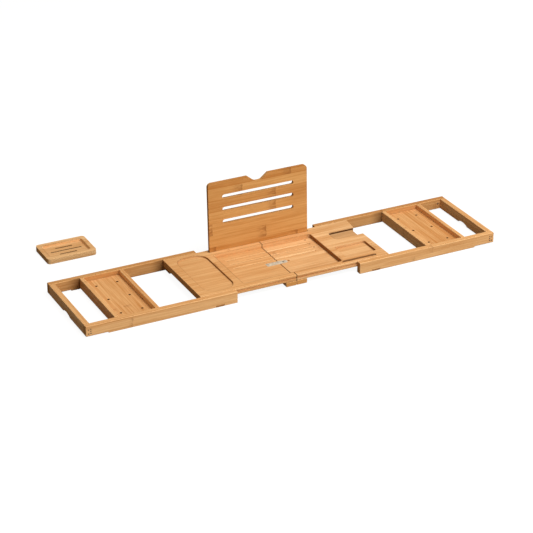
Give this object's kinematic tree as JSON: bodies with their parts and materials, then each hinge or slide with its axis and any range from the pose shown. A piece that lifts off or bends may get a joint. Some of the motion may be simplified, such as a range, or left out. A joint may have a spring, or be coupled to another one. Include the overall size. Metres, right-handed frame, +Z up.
{
  "type": "bath caddy",
  "caption": "Folding bamboo bath tray with sliding wings, soap shelves, oval recess, glass notch, phone groove, upright slotted book rest, locking bar and a loose soap dish.",
  "frame": {"origin": "on the surface the caddy stands on, under the middle of the centre seam", "axes": "+X along the caddy to the wing beside the glass notch, -Y the bather's side, +Z up"},
  "size_m": [1.02, 0.4455, 0.1945],
  "materials": {
    "board_bamboo": "satin lacquer",
    "rail_bamboo": "satin lacquer",
    "shelf_bamboo": "satin lacquer",
    "panel_bamboo": "satin lacquer",
    "under_bamboo": "satin lacquer",
    "dish_bamboo": "satin lacquer",
    "bar_steel": "brushed",
    "hinge_steel": "satin"
  },
  "bodies": {
    "left_half": {"left_tray_board": "board_bamboo", "left_seam_batten": "under_bamboo", "left_front_stop_block": "under_bamboo", "left_rear_stop_block": "under_bamboo", "left_front_hinge_leaf": "hinge_steel", "left_rear_hinge_leaf": "hinge_steel", "front_hinge_pin": "hinge_steel", "rear_hinge_pin": "hinge_steel"},
    "right_half": {"right_tray_board": "board_bamboo", "right_seam_batten": "under_bamboo", "right_front_stop_block": "under_bamboo", "right_rear_stop_block": "under_bamboo", "right_front_hinge_leaf": "hinge_steel", "right_rear_hinge_leaf": "hinge_steel"},
    "left_wing": {"left_front_rail": "rail_bamboo", "left_rear_rail": "rail_bamboo", "left_end_rail": "rail_bamboo", "left_cross_slat": "under_bamboo", "left_shelf_inner_bar": "shelf_bamboo", "left_shelf_outer_bar": "shelf_bamboo", "left_shelf_floor": "shelf_bamboo"},
    "right_wing": {"right_front_rail": "rail_bamboo", "right_rear_rail": "rail_bamboo", "right_end_rail": "rail_bamboo", "right_cross_slat": "under_bamboo", "right_shelf_inner_bar": "shelf_bamboo", "right_shelf_outer_bar": "shelf_bamboo", "right_shelf_floor": "shelf_bamboo"},
    "locking_bar": {"locking_bar": "bar_steel"},
    "book_rest": {"book_rest": "panel_bamboo"},
    "soap_dish": {"soap_dish": "dish_bamboo"}
  },
  "joints": [
    {"name": "seam_fold", "type": "hinge", "parent": "left_half", "child": "right_half", "pos_m": [0, 0, 0.0019], "axis": [0, 1, 0], "range_deg": [0, 175]},
    {"name": "left_wing_slide", "type": "slide", "parent": "left_half", "child": "left_wing", "axis": [1, 0, 0], "range_m": [0, 0.096]},
    {"name": "right_wing_slide", "type": "slide", "parent": "right_half", "child": "right_wing", "axis": [-1, 0, 0], "range_m": [0, 0.096]},
    {"name": "locking_bar_flip", "type": "hinge", "parent": "left_half", "child": "locking_bar", "pos_m": [-0.03, -0.012, 0.0165], "axis": [0, -1, 0], "range_deg": [0, 90]},
    {"name": "book_rest_lift", "type": "slide", "parent": "left_half", "child": "book_rest", "axis": [0, 0.0349, 0.9994], "range_m": [0, 0.2]},
    {"name": "soap_dish_lift", "type": "slide", "parent": "left_half", "child": "soap_dish", "axis": [0, 0, 1], "range_m": [0, 0.15]}
  ]
}
